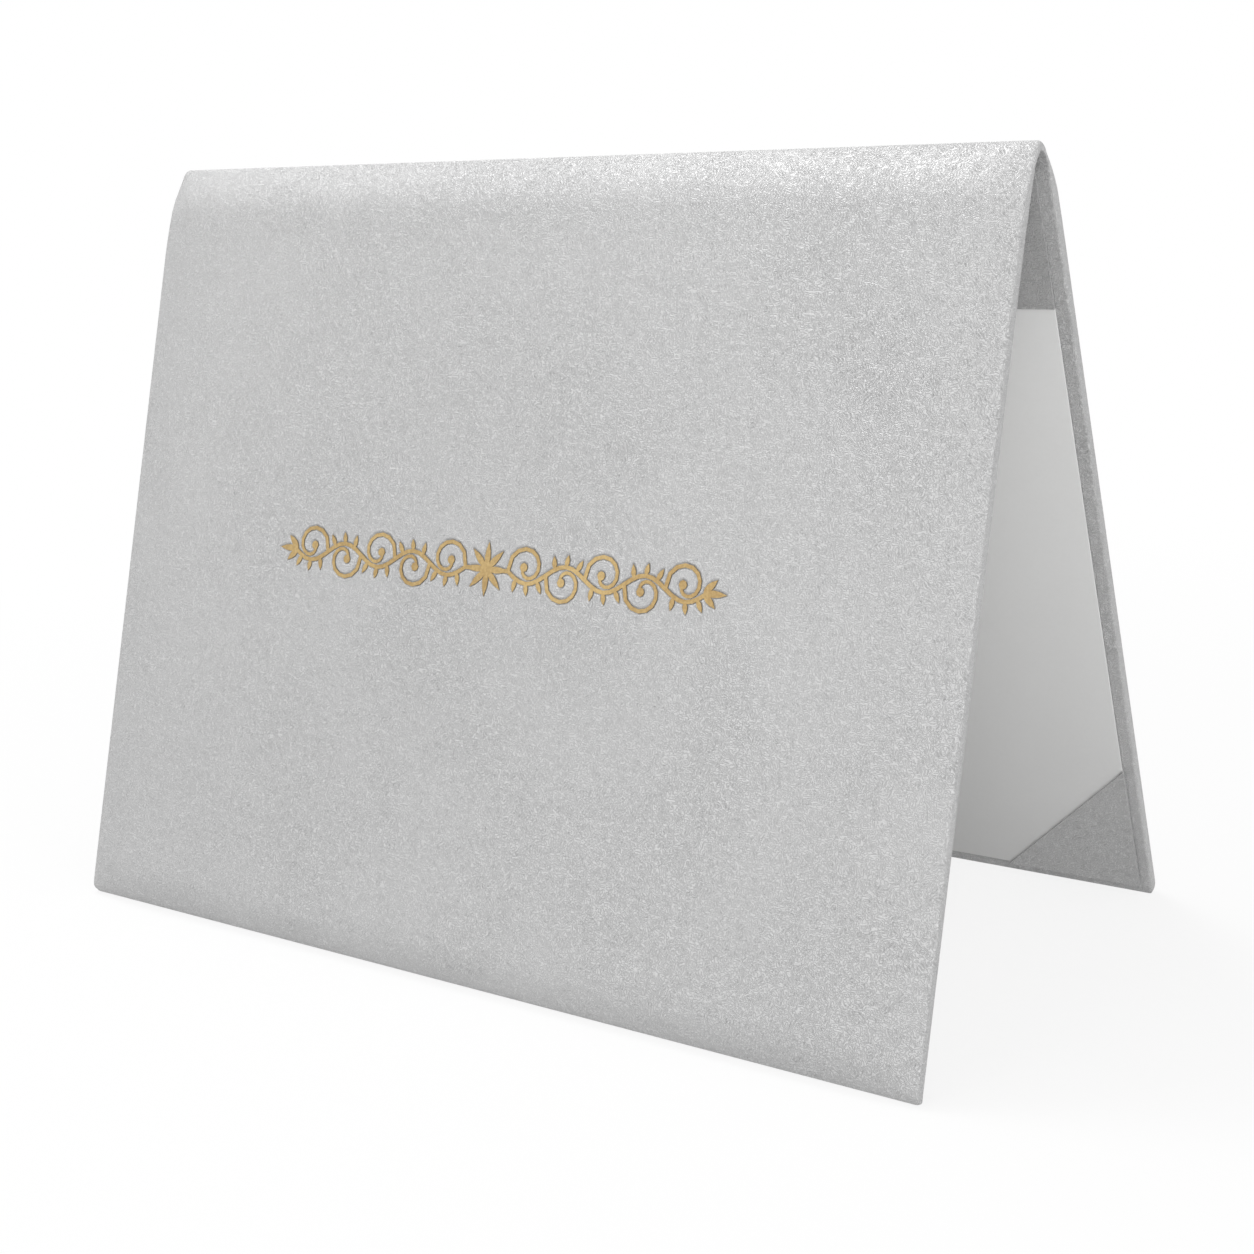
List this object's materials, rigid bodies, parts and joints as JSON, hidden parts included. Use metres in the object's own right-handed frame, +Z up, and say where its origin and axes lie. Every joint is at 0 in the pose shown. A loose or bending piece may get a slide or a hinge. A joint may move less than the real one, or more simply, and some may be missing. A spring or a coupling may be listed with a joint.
{
  "type": "diploma cover",
  "caption": "Padded landscape diploma cover in grained leatherette, hinged along its long top edge, standing as a tent with a white lined inside.",
  "frame": {"origin": "middle of the footprint on the surface that the cover stands on", "axes": "+X along the spine, +Z up, the stamped front cover faces -Y"},
  "size_m": [0.292, 0.1518, 0.2188],
  "materials": {
    "leatherette": "silver grey, fine grain, satin",
    "gold_foil": "hot-stamped foil",
    "liner_paper": "matt white",
    "chipboard": "raw",
    "foam": "raw foam sheet"
  },
  "bodies": {
    "front_cover": {"front_skin": "leatherette", "front_foam": "foam", "front_board": "chipboard", "front_liner": "liner_paper", "front_hinge_strip": "leatherette", "foil_ornament": "gold_foil"},
    "back_cover": {"back_skin": "leatherette", "back_foam": "foam", "back_board": "chipboard", "back_liner": "liner_paper", "back_hinge_strip": "leatherette", "corner_holder_left": "leatherette", "corner_holder_right": "leatherette"}
  },
  "joints": [
    {"name": "spine_fold", "type": "hinge", "parent": "front_cover", "child": "back_cover", "pos_m": [0, 0, 0.2162], "axis": [1, 0, 0], "range_deg": [-35.4, 144.6]}
  ]
}
